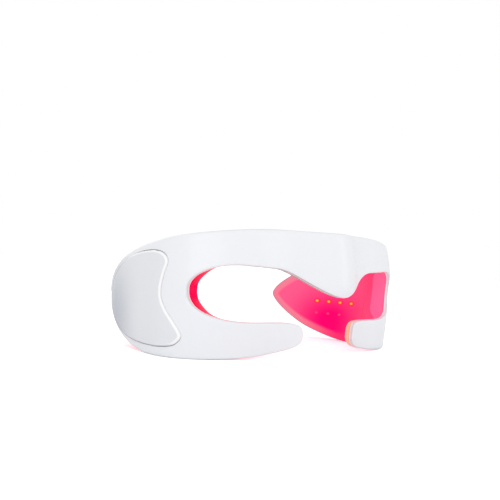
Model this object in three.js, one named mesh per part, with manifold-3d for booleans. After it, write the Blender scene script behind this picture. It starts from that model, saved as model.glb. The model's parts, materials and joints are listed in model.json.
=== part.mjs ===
// A wrap-round light therapy eye mask, in millimetres, +Z up, the front facing -Y.
// It stands on the flat lower rim of its under-eye bars, and the origin is at the bottom centre of its box.
// Every curved piece is a segmented box that is wrapped on the mask's outer face: one way runs along
// the face from the nose to the rear end of an arm, one way runs up, and one way runs into the mask.
import * as THREE from "three";
import { mergeGeometries, mergeVertices } from "three/addons/utils/BufferGeometryUtils.js";
import Module from "manifold-3d";

const wasm = await Module();
wasm.setup();

// Plan of the outer face, seen from above: four arcs on each side of the nose. Each angle is how far
// the face has turned at the end of its arc, and the last arc runs on to the end of the arm.
const FRONT_RADIUS = 470.8;
const FRONT_ANGLE = THREE.MathUtils.degToRad(5.075);
const BROW_RADIUS = 68.9;
const BROW_ANGLE = THREE.MathUtils.degToRad(39.7);
const CORNER_RADIUS = 27;
const CORNER_ANGLE = THREE.MathUtils.degToRad(93.07);
const SIDE_RADIUS = 154.4;
const ARM_LENGTH = 181.3; // along the face, from the middle of the nose to the rear end

// The face stands forward over the nose, leans back above and below, and tucks in at the cheeks.
const NOSE_RISE = 12.2;
const NOSE_HALF_WIDTH = 19.2;
const TOP_LEAN = 5.5;
const BOTTOM_LEAN = 1.5;
const CHEEK_TUCK = 4.7;
const CHEEK_REACH = 70;
const CHEEK_TOP = 7;
const CHEEK_BLEND = 16.7;
const TIP_FORWARD = 2.8; // how far the tips of the under-eye bars stand forward again
const TIP_RELAX = 20;
const TIP_TOP = -8;
const TIP_BLEND = 8;

// Heights over the level of the nose arch.
const TOP_Z = 34.6;
const BOTTOM_Z = -32.8;
const REAR_Z = -4.6; // the rearmost point of an arm
const ARCH_Z = 0.2; // the lower edge of the shell over the nose
const OPENING_TOP_Z = 15.1;
const OPENING_LOW_Z = -13.7;
const OPENING_END_Z = 2.9;
const TIP_Z = -21.5;

// Places along the face, from the middle of the nose.
const TOP_FLAT = 31;
const ARCH_HALF = 39.8;
const OPENING_TOP_END = 60.2;
const OPENING_LOW_END = 48.1;
const OPENING_END = 88.6;
const TIP_START = 20.5;
const TIP_ROUND = 13.3;
const CHEEK_ROUND = 64.5;
const ARCH_SHARE = 0.93; // how much of the arch's rise lies inside its half width
const ARM_LAND = ARM_LENGTH - OPENING_END; // the closed part of an arm, behind the eye opening
const REAR_ROUND = ARM_LAND * 0.715;

// Powers of the rounded ends: 2 is an ellipse, and more is squarer.
const POWERS = {
  top: 1.6,
  topEnd: 1.75,
  rear: 1.56,
  tip: 3.6,
  cheek: 2.48,
  openingTop: 1.94,
  openingLow: 2.43,
  panelTop: 1.76,
  panelLow: 2.27,
};
const END_SHARE = 0.993; // the rounded ends stop a little short of their point, with a small flat

// Thickness of the whole mask: slim over the nose and eyes, thick at the temples, slim at the rear.
const FRONT_DEPTH = 6;
const TEMPLE_DEPTH = 14.5;
const REAR_DEPTH = 8;
const DEPTH_RISE_FROM = 46;
const DEPTH_RISE_TO = 86;
const DEPTH_FALL_FROM = OPENING_END + ARM_LAND * 0.6663;

// Round the outer end of an eye opening the walls lean towards the nose as they go in.
const WINDOW_LEAN = 7; // at the depth of the temples
const LEAN_RISE = 23;
const LEAN_BEFORE = 3; // it is full from here before the opening's end
const LEAN_BEHIND = 1.5; // to here behind it
const LEAN_FALL = 15.5;

// Moulded walls.
const SHELL_WALL = 2;
const SHELL_RIM = 2.6; // how deep the shell's outer wall reaches, where the cover goes on
const COVER_WALL = 1.3;
const EDGE_CHAMFER = 1;
const FIT_GAP = 0.3;
const OVERRUN = 1.5; // how far a cut runs past the face that it opens
const MESH_TOLERANCE = 0.02; // the finished meshes lose details under this size

// Power button, near the rear end of the right arm.
const BUTTON_FROM_REAR = REAR_ROUND * 0.1508;
const BUTTON_Z = -8.2;
const BUTTON_HEIGHT = 8;
const BUTTON_WIDTH = 3.4;
const BUTTON_PROUD = 0.7;
const BUTTON_TRAVEL = 0.6;
const BUTTON_FLANGE = 0.8;
const BUTTON_FLANGE_LIP = 1;
const BUTTON_POST_RADIUS = 1;
const BUTTON_POST = 0.4;
const DOME_RADIUS = 2;
const DOME_HEIGHT = 0.4;

// Temple panels.
const PANEL_RAISE = 0.8;
const PANEL_SEAT = 1;
const PANEL_FROM_OPENING = 1.2;
const PANEL_TO_BUTTON = 1.5;
const PANEL_FRONT = OPENING_END + PANEL_FROM_OPENING; // where its lower lobe starts
const PANEL_TOP_Z = 20.3;
const PANEL_LOW_Z = -27.7;
const PANEL_SPINE = OPENING_END + ARM_LAND * 0.247; // where its top and bottom are, along the face
const PANEL_REAR = ARM_LENGTH - BUTTON_FROM_REAR - BUTTON_WIDTH / 2 - PANEL_TO_BUTTON;
// The front edge from its foot to its head: shares of PANEL_EDGE_SWAY and of the panel's height.
const PANEL_EDGE_SWAY = ARM_LAND * 0.151;
const PANEL_EDGE_SHARES = [
  [1.16, 0],
  [0.51, 0.018],
  [0.2, 0.052],
  [0, 0.136],
  [0.25, 0.254],
  [0.63, 0.389],
  [0.87, 0.507],
  [0.92, 0.621],
  [0.84, 0.757],
  [0.73, 0.873],
  [0.83, 0.943],
  [1.15, 0.987],
  [1.59, 1],
];

// Electronics in the arms: the control board in the right one and the battery in the left one.
const BOARD_THICKNESS = 0.8;
const BOARD_FROM_REAR = REAR_ROUND * 0.3318; // its middle
const BOARD_Z = -5.2;
const BOARD_REACH = REAR_ROUND * 0.2489; // from its middle to its ends
const BOARD_DROP = 16.2; // from its middle to its lower edge
// Corners of the board: forwards along the arm, as shares of its reach, and up, as shares of its drop.
const BOARD_CORNER_SHARES = [
  [1, 0.77],
  [0.12, 0.77],
  [-1, 0.34],
  [-1, -0.17],
  [-0.3, -0.67],
  [0.21, -1],
  [1, -1],
];
const PORT_WIDTH = 8.9;
const PORT_HEIGHT = 3.2;
const PORT_LENGTH = 7.3;
const PORT_WALL = 0.4;
const PORT_TONGUE = 0.7;
const PORT_X = BOARD_REACH * 0.485; // forwards of the board's middle
const PORT_PROUD = 0.8;
const CHIP_SIDE = 6;
const CHIP_HEIGHT = 1;
const PLUG_LENGTH = 3;
const PLUG_WIDTH = 9;
const PLUG_HEIGHT = 1.6;
// The board's screws from its middle, as shares of its reach and its drop.
const BOARD_SCREW_SHARES = [
  [0.424, 0.515],
  [-0.121, -0.424],
];
const BATTERY_LENGTH = ARM_LAND * 0.4227;
const BATTERY_HEIGHT = 26;
const BATTERY_FROM_REAR = ARM_LAND * 0.4894; // its middle
const BATTERY_CORNER = 1.6;
const BATTERY_Z = -5;
const FOAM_THICKNESS = 1;
const FOAM_LENGTH = BATTERY_LENGTH * 0.6316;
const FOAM_HEIGHT = 18;
const LEAD_RADIUS = 0.6;
const LEAD_LENGTH = ARM_LAND * 0.2;
const LEAD_SPACING = 2.4;

// Light boards on the back of the light cover, and their lights.
const FLEX_THICKNESS = 0.3;
const FLEX_MARGIN = 3.6;
const LED_LENGTH = 3.5;
const LED_WIDTH = 2.8;
const LED_HEIGHT = 0.8;
const LED_PITCH = 10.7;
const LED_ROW_PITCH = 8;
const BROW_LED_Z = 24.4;
const BROW_LEDS_EACH_SIDE = 4;
const CHEEK_LED_START = 33;
const CHEEK_LEDS = 4;
const FLEX_FROM_OPENING = 5.9;
const TEMPLE_FLEX_FROM = OPENING_END + FLEX_FROM_OPENING;
const TEMPLE_FLEX_TO = OPENING_END + ARM_LAND * 0.62;
const TEMPLE_FLEX_HIGH = 4;
const TEMPLE_FLEX_LOW = -19.5;
const TEMPLE_LED_START = OPENING_END + ARM_LAND * 0.2707;
const TEMPLE_LED_PITCH = ARM_LAND * 0.1036;
const TEMPLE_LED_Z = -7.1;
const TEMPLE_LED_COUNTS = [4, 3];

// Screws that hold the shell to the light cover, under the temple panels, and the board screws.
const SCREW_HEAD_RADIUS = 1.8;
const SCREW_HEAD_HEIGHT = 1.1;
const SCREW_RADIUS = 0.85;
const SCREW_LENGTH = 6.5;
const DRIVE_RADIUS = 0.8;
const DRIVE_DEPTH = 0.6;
const WELL_RADIUS = 3.1;
const WELL_DEPTH = 4.6;
const WELL_FLOOR = 1.2;
const BOSS_RADIUS = 2.4;
const SCREW_FROM_OPENING = 19;
const SCREW_UPPER_Z = 13;
const SCREW_LOWER_Z = -23.6;
const BOARD_SCREW_LENGTH = 2.6;

const clamp01 = (value) => Math.min(1, Math.max(0, value));
const smooth = (value) => clamp01(value) ** 2 * (3 - 2 * clamp01(value));
const mix = (a, b, share) => a * (1 - share) + b * share;

// Plan arcs: the turn of the face and its place in X and Y, at a length s from the nose.
function planAt(s) {
  const browStart = FRONT_RADIUS * FRONT_ANGLE;
  const cornerStart = browStart + BROW_RADIUS * (BROW_ANGLE - FRONT_ANGLE);
  const sideStart = cornerStart + CORNER_RADIUS * (CORNER_ANGLE - BROW_ANGLE);
  const place = { turn: 0, x: 0, y: 0 };
  const arcs = [
    [FRONT_RADIUS, 0, browStart],
    [BROW_RADIUS, browStart, cornerStart],
    [CORNER_RADIUS, cornerStart, sideStart],
    [SIDE_RADIUS, sideStart, Infinity],
  ];
  for (const [radius, from, to] of arcs) {
    const turned = Math.max(0, Math.min(s, to) - from) / radius;
    const end = place.turn + turned;
    place.x += radius * (Math.sin(end) - Math.sin(place.turn));
    place.y += radius * (Math.cos(place.turn) - Math.cos(end));
    place.turn = end;
  }
  return place;
}

// A point of the mask: s along the face (negative on the right arm), z up, depth into the mask.
function facePoint(s, z, depth) {
  const fromEnd = Math.abs(s) - OPENING_END;
  const rise = smooth((fromEnd + LEAN_BEFORE + LEAN_RISE) / LEAN_RISE);
  const fall = smooth((fromEnd - LEAN_BEHIND) / LEAN_FALL);
  const along = Math.abs(s) - WINDOW_LEAN * (depth / TEMPLE_DEPTH) * (rise - fall);
  const { turn, x, y } = planAt(along);
  const lean = z > 0 ? TOP_LEAN * (z / TOP_Z) ** 2 : BOTTOM_LEAN * (z / BOTTOM_Z) ** 2;
  const nose = NOSE_RISE * (1 - Math.exp(-((along / NOSE_HALF_WIDTH) ** 2)));
  const tuck = CHEEK_TUCK * Math.exp(-((along / CHEEK_REACH) ** 2));
  const cheek = tuck * smooth((CHEEK_TOP - z) / CHEEK_BLEND);
  const inward = lean + depth;
  const tip = TIP_FORWARD * smooth((TIP_START + TIP_RELAX - along) / TIP_RELAX);
  const shaped = nose + cheek - tip * smooth((TIP_TOP - z) / TIP_BLEND);
  const across = x - inward * Math.sin(turn);
  return new THREE.Vector3(s < 0 ? -across : across, y + inward * Math.cos(turn) + shaped, z);
}

// The rounded ends of the outline, as shares of a height: 1 at the start, 0 at the point.
function roundOff(along, power, endPower = power) {
  const w = Math.min(clamp01(along), END_SHARE);
  return (1 - w ** power) ** (1 / endPower);
}

// The outline of one half, moved in by inset.
function topEdge(s, inset = 0) {
  const along = (s - TOP_FLAT) / (ARM_LENGTH - inset - TOP_FLAT);
  return REAR_Z + (TOP_Z - inset - REAR_Z) * roundOff(along, POWERS.top, POWERS.topEnd);
}

function bottomEdge(s, inset = 0) {
  const landEnd = ARM_LENGTH - REAR_ROUND;
  const cheekStart = TIP_START + CHEEK_ROUND;
  if (s > cheekStart) {
    const rear = (s - landEnd) / (REAR_ROUND - inset);
    return REAR_Z + (BOTTOM_Z + inset - REAR_Z) * roundOff(rear, POWERS.rear);
  }
  const cheek = (cheekStart - s) / (CHEEK_ROUND - inset);
  return TIP_Z + (BOTTOM_Z + inset - TIP_Z) * roundOff(cheek, POWERS.cheek);
}

function openingLow(s, inset = 0) {
  const tipEnd = TIP_START + TIP_ROUND;
  if (s < tipEnd) {
    const tip = (tipEnd - s) / (TIP_ROUND - inset);
    return TIP_Z + (OPENING_LOW_Z - inset - TIP_Z) * roundOff(tip, POWERS.tip);
  }
  const w = clamp01((s - OPENING_LOW_END) / (OPENING_END + inset - OPENING_LOW_END));
  const share = (1 - w ** POWERS.openingLow) ** (1 / POWERS.openingLow);
  return OPENING_END_Z + (OPENING_LOW_Z - inset - OPENING_END_Z) * share;
}

function openingTop(s, inset = 0) {
  if (s < OPENING_TOP_END) {
    const arch = ARCH_SHARE * smooth(s / ARCH_HALF);
    const brow = (1 - ARCH_SHARE) * clamp01((s - ARCH_HALF) / (OPENING_TOP_END - ARCH_HALF));
    return ARCH_Z + inset + (OPENING_TOP_Z - ARCH_Z) * (arch + brow);
  }
  const w = clamp01((s - OPENING_TOP_END) / (OPENING_END + inset - OPENING_TOP_END));
  const share = (1 - w ** POWERS.openingTop) ** (1 / POWERS.openingTop);
  return OPENING_END_Z + (OPENING_TOP_Z + inset - OPENING_END_Z) * share;
}

// The line on which the upper and lower bands of an arm meet, behind the eye opening.
function middleLine(s, inset = 0) {
  const start = OPENING_END + inset;
  return mix(OPENING_END_Z, REAR_Z, smooth((s - start) / (ARM_LENGTH - start)));
}

function maskDepth(s) {
  const along = Math.abs(s);
  const temple = smooth((along - DEPTH_RISE_FROM) / (DEPTH_RISE_TO - DEPTH_RISE_FROM));
  const rear = smooth((along - DEPTH_FALL_FROM) / (ARM_LENGTH - DEPTH_FALL_FROM));
  return mix(mix(FRONT_DEPTH, TEMPLE_DEPTH, temple), REAR_DEPTH, rear);
}

// Stations from a to b. ease crowds them towards the end that is round: 1 for b, -1 for a.
function stations(a, b, count, ease = 0) {
  const list = [];
  for (let i = 0; i <= count; i += 1) {
    const share = i / count;
    const eased = Math.sin((share * Math.PI) / 2);
    const mirrored = 1 - Math.cos((share * Math.PI) / 2);
    list.push(mix(a, b, ease > 0 ? eased : ease < 0 ? mirrored : share));
  }
  return list;
}

const joinStations = (...runs) => runs.flatMap((run, i) => (i ? run.slice(1) : run));

function armStations(inset) {
  const openingEnd = OPENING_END + inset;
  const landEnd = ARM_LENGTH - REAR_ROUND;
  const rearEnd = landEnd + (REAR_ROUND - inset) * END_SHARE;
  return joinStations(stations(openingEnd, landEnd, 4), stations(landEnd, rearEnd, 8, 1));
}

function upperStations(inset) {
  const half = joinStations(
    stations(0, ARCH_HALF, 10),
    stations(ARCH_HALF, OPENING_TOP_END, 3),
    stations(OPENING_TOP_END, OPENING_END + inset, 6, 1),
    armStations(inset),
  );
  const mirrored = half.slice(1).map((s) => -s);
  return [...mirrored.reverse(), ...half];
}

function lowerStations(inset, side) {
  const tipEnd = TIP_START + TIP_ROUND;
  const tipStart = tipEnd - (TIP_ROUND - inset) * END_SHARE;
  const half = joinStations(
    stations(tipStart, tipEnd, 5, -1),
    stations(tipEnd, OPENING_LOW_END, 2),
    stations(OPENING_LOW_END, OPENING_END + inset, 6, 1),
    armStations(inset),
  );
  return side > 0 ? half : half.map((s) => -s).reverse();
}

// Wraps a box on the face. map(i, j, outer) gives each corner point of its grid, and
// keep(columns, rows) says of each triangle, from its corners' places in the grid, whether it stays.
function wrapBox(columns, rows, map, keep = () => true) {
  const box = mergeVertices(stripped(new THREE.BoxGeometry(1, 1, 1, columns, rows, 1)));
  const position = box.attributes.position;
  const cells = [];
  for (let k = 0; k < position.count; k += 1) {
    const i = Math.round((position.getX(k) + 0.5) * columns);
    const j = Math.round((position.getY(k) + 0.5) * rows);
    const point = map(i, j, position.getZ(k) > 0);
    position.setXYZ(k, point.x, point.y, point.z);
    cells.push([i, j]);
  }
  const index = [];
  for (let k = 0; k < box.index.count; k += 3) {
    const corners = [0, 1, 2].map((c) => box.index.getX(k + c));
    if (keep(corners.map((corner) => cells[corner]))) index.push(...corners);
  }
  box.setIndex(index);
  return box;
}

function stripped(geometry) {
  for (const name of Object.keys(geometry.attributes)) {
    if (name !== "position") geometry.deleteAttribute(name);
  }
  return geometry;
}

// A band of the mask between a low and a high edge, with a bevel of its own on each of its edges.
// The bevels are on its outer side, or on its inner side where inwards is true.
function bandMap(along, rows, shape) {
  const middleRows = rows - 2;
  return (i, j, isOuter) => {
    const s = along[i];
    const bottom = shape.low(Math.abs(s));
    const top = shape.high(Math.abs(s));
    const [lowBevel, highBevel] = shape.bevels(Math.abs(s), top - bottom);
    let z = mix(bottom + lowBevel, top - highBevel, clamp01((j - 1) / middleRows));
    let bevel = 0;
    if (j === 0) {
      z = bottom;
      bevel = lowBevel;
    }
    if (j === rows) {
      z = top;
      bevel = highBevel;
    }
    if (isOuter) return facePoint(s, z, shape.outer(s) + (shape.inwards ? 0 : bevel));
    return facePoint(s, z, shape.inner(s) - (shape.inwards ? bevel : 0));
  };
}

// The whole outline of the mask as one closed solid: the brow with both arms, and the under-eye bars.
// The bars join the arms behind the eye openings, and the faces where they meet are left out.
function maskSolid({ inset, outer, inner, bevel = 0, inwards = false }) {
  const rows = 5;
  const openEnd = OPENING_END + inset;
  const meets = (s) => Math.abs(s) >= openEnd;
  const join = (s) => middleLine(s, inset);
  const rimBevel = (height) => Math.min(bevel, height / 3);
  const openBevel = (s) => Math.min(bevel, Math.max(0, openEnd - s) / 2);
  const upperShape = {
    low: (s) => (meets(s) ? join(s) : openingTop(s, inset)),
    high: (s) => topEdge(s, inset),
    bevels: (s, height) => [openBevel(s), rimBevel(height)],
  };
  const lowerShape = {
    low: (s) => bottomEdge(s, inset),
    high: (s) => (meets(s) ? join(s) : openingLow(s, inset)),
    bevels: (s, height) => [rimBevel(height), openBevel(s)],
  };
  const pieces = [
    [upperStations(inset), upperShape, 0],
    [lowerStations(inset, 1), lowerShape, rows],
    [lowerStations(inset, -1), lowerShape, rows],
  ].map(([along, shape, joinRow]) => {
    const map = bandMap(along, rows, { ...shape, outer, inner, inwards });
    const keep = (cells) => !cells.every(([i, j]) => j === joinRow && meets(along[i]));
    return wrapBox(along.length - 1, rows, map, keep);
  });
  return toManifold(mergeGeometries(pieces));
}

function toManifold(geometry) {
  const source = geometry.index ? geometry.toNonIndexed() : geometry.clone();
  const merged = mergeVertices(stripped(source), 1e-4);
  const index = [];
  for (let i = 0; i < merged.index.count; i += 3) {
    const corners = [0, 1, 2].map((c) => merged.index.getX(i + c));
    if (new Set(corners).size === 3) index.push(...corners);
  }
  const vertProperties = new Float32Array(merged.attributes.position.array);
  return new wasm.Manifold(new wasm.Mesh({ numProp: 3, vertProperties, triVerts: new Uint32Array(index) }));
}

function toGeometry(solid) {
  const mesh = solid.simplify(MESH_TOLERANCE).getMesh();
  const geometry = new THREE.BufferGeometry();
  geometry.setAttribute("position", new THREE.BufferAttribute(mesh.vertProperties, 3));
  geometry.setIndex(new THREE.BufferAttribute(mesh.triVerts, 1));
  return geometry;
}

// The frame of a place on a surface at the given depth: x along the face, y up it, z straight out.
function seatMatrix(s, z, depthAt) {
  const step = FIT_GAP;
  const along = facePoint(s + step, z, depthAt(s + step)).sub(facePoint(s - step, z, depthAt(s - step)));
  const up = facePoint(s, z + step, depthAt(s)).sub(facePoint(s, z - step, depthAt(s)));
  const x = along.normalize();
  const out = new THREE.Vector3().crossVectors(x, up).normalize();
  const matrix = new THREE.Matrix4().makeBasis(x, new THREE.Vector3().crossVectors(out, x), out);
  return matrix.setPosition(facePoint(s, z, depthAt(s)));
}

const faceMatrix = (s, z) => seatMatrix(s, z, () => 0);
const placed = (geometry, matrix) => toManifold(geometry.clone().applyMatrix4(matrix));

// A round peg from one depth to another under its place on the face.
function peg(radius, near, far, sides = 16) {
  const geometry = new THREE.CylinderGeometry(radius, radius, far - near, sides);
  geometry.rotateX(Math.PI / 2);
  geometry.translate(0, 0, -(near + far) / 2);
  return geometry;
}

function block(width, height, near, far, x = 0, y = 0) {
  const geometry = new THREE.BoxGeometry(width, height, far - near);
  geometry.translate(x, y, -(near + far) / 2);
  return geometry;
}

// A flat shape pushed through from one depth to another.
function plate(shape, near, far, curveSegments = 6) {
  const options = { depth: far - near, bevelEnabled: false, curveSegments };
  const geometry = new THREE.ExtrudeGeometry(shape, options);
  geometry.translate(0, 0, -far);
  return geometry;
}

// A shape that stands across the board and is pushed down its face, from y = low to y = high.
function standing(shape, low, high) {
  const options = { depth: high - low, bevelEnabled: false, curveSegments: 6 };
  const geometry = new THREE.ExtrudeGeometry(shape, options);
  geometry.rotateX(-Math.PI / 2);
  geometry.translate(0, low, -portDepth);
  return geometry;
}

function roundedShape(width, height, corner) {
  const shape = new THREE.Shape();
  const x = width / 2 - corner;
  const y = height / 2 - corner;
  shape.absarc(x, y, corner, 0, Math.PI / 2);
  shape.absarc(-x, y, corner, Math.PI / 2, Math.PI);
  shape.absarc(-x, -y, corner, Math.PI, 1.5 * Math.PI);
  shape.absarc(x, -y, corner, 1.5 * Math.PI, 2 * Math.PI);
  shape.closePath();
  return shape;
}

const pillShape = (width, height) => roundedShape(width, height, width / 2);

function portShape(wall) {
  const height = PORT_HEIGHT - 2 * wall;
  return roundedShape(PORT_WIDTH - 2 * wall, height, height / 2);
}

// Temple panel: each row runs back from the bean-shaped front edge to the rounded rear edge.
const panelEdge = new THREE.SplineCurve(
  PANEL_EDGE_SHARES.map(([out, up]) => {
    const z = mix(PANEL_LOW_Z, PANEL_TOP_Z, up);
    return new THREE.Vector2(PANEL_FRONT + out * PANEL_EDGE_SWAY, z);
  }),
);

function panelRear(z) {
  const upper = z > REAR_Z;
  const reach = upper ? PANEL_TOP_Z - REAR_Z : PANEL_LOW_Z - REAR_Z;
  const power = upper ? POWERS.panelTop : POWERS.panelLow;
  return PANEL_SPINE + (PANEL_REAR - PANEL_SPINE) * roundOff((z - REAR_Z) / reach, power);
}

// grow moves its edge out on all sides, and bevel lowers its outer edge.
function panelSolid(side, { grow, near, far, bevel = 0 }) {
  const rows = 16;
  const columns = 14;
  const map = (i, j, isOuter) => {
    const edge = panelEdge.getPoint(j / rows);
    const front = edge.x - grow;
    const rear = Math.max(panelRear(edge.y), edge.x + PANEL_SEAT) + grow;
    const inFromEdge = (side > 0 ? i : columns - i) - 1;
    let s = mix(front + bevel, rear - bevel, clamp01(inFromEdge / (columns - 2)));
    if (inFromEdge < 0) s = front;
    if (inFromEdge > columns - 2) s = rear;
    const onRim = i === 0 || i === columns || j === 0 || j === rows;
    const depth = isOuter ? near + (onRim ? bevel : 0) : far;
    return facePoint(side * s, edge.y + mix(-grow, grow, j / rows), depth);
  };
  return toManifold(wrapBox(columns, rows, map));
}

const material = (settings) => new THREE.MeshStandardMaterial(settings);
const paint = (color, roughness, metalness = 0) => material({ color, roughness, metalness });
const glow = (color, emissive) => material({ color, roughness: 0.3, emissive });
const glossWhite = paint(0xf2f3f7, 0.18);
const panelGrey = paint(0xdfe2e7, 0.2);
const coverPink = glow(0xff2a6a, 0x990030);
const flexWhite = paint(0xf4efe8, 0.5);
const boardGreen = paint(0x1f5a3c, 0.45);
const chipBlack = paint(0x1a1a1c, 0.5);
const steel = paint(0xb9bcc2, 0.3, 1);
const pouchSilver = paint(0xc3c6cc, 0.4, 0.6);
const foamGrey = paint(0x3a3b3e, 0.95);
const leadRed = paint(0xb01c20, 0.6);
const lampAmber = glow(0xffb347, 0xff8a00);

const mask = new THREE.Group();
let centreY = 0;

// Every piece is moved so that the part's origin is at the bottom centre of its box.
function addNode(name, solid, surface) {
  const geometry = toGeometry(solid);
  geometry.translate(0, -centreY, -BOTTOM_Z);
  geometry.computeVertexNormals();
  const mesh = new THREE.Mesh(geometry, surface);
  mesh.name = name;
  mask.add(mesh);
}

const sideName = (side) => (side < 0 ? "right" : "left");

// A flat piece on the round arm lies deepest at its middle: sag says by how much, for a half length.
const sag = (half) => half ** 2 / (2 * SIDE_RADIUS);
const buttonS = -(ARM_LENGTH - BUTTON_FROM_REAR);
const boardS = -(ARM_LENGTH - BOARD_FROM_REAR);
const batteryS = ARM_LENGTH - BATTERY_FROM_REAR;
const flangeFar = SHELL_WALL + FIT_GAP + BUTTON_FLANGE;
const domeNear = flangeFar + BUTTON_POST + BUTTON_TRAVEL + FIT_GAP;
const boardNear = domeNear + DOME_HEIGHT + FIT_GAP + sag(BOARD_FROM_REAR - BUTTON_FROM_REAR);
const boardFar = boardNear + BOARD_THICKNESS;
const portDepth = boardFar + FIT_GAP + PORT_HEIGHT / 2;
const batteryNear = PANEL_SEAT + SHELL_WALL + 2 * FIT_GAP + sag(BATTERY_LENGTH / 2);
const flexNear = (s) => maskDepth(s) - COVER_WALL - 3 * FIT_GAP - LED_HEIGHT - FLEX_THICKNESS;
const batteryFar = flexNear(batteryS) - 3 * FIT_GAP - FOAM_THICKNESS;
const screwPlaces = [-1, 1].flatMap((side) =>
  [SCREW_UPPER_Z, SCREW_LOWER_Z].map((z) => ({
    name: `${sideName(side)}_${z > 0 ? "upper" : "lower"}_shell_screw`,
    matrix: faceMatrix(side * (OPENING_END + SCREW_FROM_OPENING), z),
  })),
);
const boardMatrix = faceMatrix(boardS, BOARD_Z);
const batteryMatrix = faceMatrix(batteryS, BATTERY_Z);
const buttonMatrix = faceMatrix(buttonS, BUTTON_Z);
const boardPlace = (x, y) => boardMatrix.clone().multiply(new THREE.Matrix4().makeTranslation(x, y, 0));
const boardScrewMatrices = BOARD_SCREW_SHARES.map(([x, y]) => boardPlace(x * BOARD_REACH, y * BOARD_DROP));
const portPlace = boardPlace(PORT_X, -BOARD_DROP);

// Outer shell: one moulding, with a rim all round, seats for the panels and wells for the screws.
function makeShell() {
  const skin = maskSolid({ inset: 0, outer: () => 0, inner: () => SHELL_RIM, bevel: EDGE_CHAMFER });
  const deep = () => SHELL_RIM + OVERRUN;
  let shell = skin.subtract(maskSolid({ inset: SHELL_WALL, outer: () => SHELL_WALL, inner: deep }));
  const seat = PANEL_SEAT + FIT_GAP;
  for (const side of [1, -1]) {
    const pad = panelSolid(side, { grow: SHELL_WALL, near: seat, far: PANEL_SEAT + SHELL_WALL });
    shell = shell.add(pad.intersect(skin));
    shell = shell.subtract(panelSolid(side, { grow: FIT_GAP, near: -OVERRUN, far: seat }));
  }
  for (const { matrix } of screwPlaces) {
    shell = shell.add(placed(peg(WELL_RADIUS, SHELL_WALL, WELL_DEPTH), matrix));
    shell = shell.subtract(placed(peg(SCREW_HEAD_RADIUS + FIT_GAP, 0, WELL_DEPTH - WELL_FLOOR), matrix));
    shell = shell.subtract(placed(peg(SCREW_RADIUS + FIT_GAP, 0, WELL_DEPTH + OVERRUN), matrix));
  }
  const slot = pillShape(BUTTON_WIDTH + 2 * FIT_GAP, BUTTON_HEIGHT + 2 * FIT_GAP);
  const around = 2 * (BUTTON_FLANGE_LIP + FIT_GAP);
  const pocket = pillShape(BUTTON_WIDTH + around, BUTTON_HEIGHT + around);
  shell = shell.subtract(placed(plate(slot, -OVERRUN, SHELL_WALL + OVERRUN), buttonMatrix));
  shell = shell.subtract(placed(plate(pocket, SHELL_WALL, SHELL_RIM + OVERRUN), buttonMatrix));
  for (const matrix of boardScrewMatrices) {
    const post = placed(peg(BOSS_RADIUS, SHELL_WALL, boardNear - FIT_GAP), matrix);
    const hole = placed(peg(SCREW_RADIUS + FIT_GAP, SHELL_WALL + PANEL_SEAT, boardNear), matrix);
    shell = shell.add(post).subtract(hole);
  }
  return shell;
}

const shell = makeShell();
const shellBox = new THREE.Box3().setFromBufferAttribute(toGeometry(shell).attributes.position);
centreY = (shellBox.min.y + shellBox.max.y) / 2;
addNode("outer_shell", shell, glossWhite);

// Light cover: a deep tray that faces the wearer, with bosses for the shell screws.
function makeCover() {
  const start = () => SHELL_RIM + FIT_GAP;
  const tray = maskSolid({ inset: 0, outer: start, inner: maskDepth, bevel: EDGE_CHAMFER, inwards: true });
  const floor = (s) => maskDepth(s) - COVER_WALL;
  let cover = tray.subtract(maskSolid({ inset: COVER_WALL, outer: () => 0, inner: floor }));
  for (const { matrix } of screwPlaces) {
    const far = TEMPLE_DEPTH - COVER_WALL / 2;
    cover = cover.add(placed(peg(BOSS_RADIUS, WELL_DEPTH + FIT_GAP, far), matrix));
    const holeFar = WELL_DEPTH - WELL_FLOOR + SCREW_LENGTH + FIT_GAP;
    cover = cover.subtract(placed(peg(SCREW_RADIUS + FIT_GAP, 0, holeFar), matrix));
  }
  return cover.subtract(placed(standing(portShape(-FIT_GAP), -2 * PORT_LENGTH, PORT_LENGTH), portPlace));
}

addNode("light_cover", makeCover(), coverPink);

for (const side of [-1, 1]) {
  const sizes = { grow: 0, near: -PANEL_RAISE, far: PANEL_SEAT, bevel: PANEL_RAISE / 2 };
  addNode(`${sideName(side)}_temple_panel`, panelSolid(side, sizes), panelGrey);
}

// Power button: a slim cap with a flange behind the shell and a post over the switch.
const capShape = pillShape(BUTTON_WIDTH, BUTTON_HEIGHT);
const flangeShape = pillShape(BUTTON_WIDTH + 2 * BUTTON_FLANGE_LIP, BUTTON_HEIGHT + 2 * BUTTON_FLANGE_LIP);
const button = placed(plate(capShape, -BUTTON_PROUD, flangeFar), buttonMatrix)
  .add(placed(plate(flangeShape, SHELL_WALL + FIT_GAP, flangeFar), buttonMatrix))
  .add(placed(peg(BUTTON_POST_RADIUS, SHELL_WALL, flangeFar + BUTTON_POST), buttonMatrix));
addNode("power_button", button, glossWhite);

const dome = placed(peg(DOME_RADIUS, domeNear, domeNear + DOME_HEIGHT), buttonMatrix);
addNode("tact_switch", dome, steel);

// Control board, with its chip, its charging socket and its plug on the side of the wearer.
const boardCorner = ([x, y]) => new THREE.Vector2(x * BOARD_REACH, y * BOARD_DROP);
const boardCorners = BOARD_CORNER_SHARES.map(boardCorner);
let board = placed(plate(new THREE.Shape(boardCorners), boardNear, boardFar), boardMatrix);
for (const matrix of boardScrewMatrices) {
  const hole = peg(SCREW_RADIUS + FIT_GAP, boardNear - OVERRUN, boardFar + OVERRUN);
  board = board.subtract(placed(hole, matrix));
}
addNode("control_board", board, boardGreen);

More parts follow.
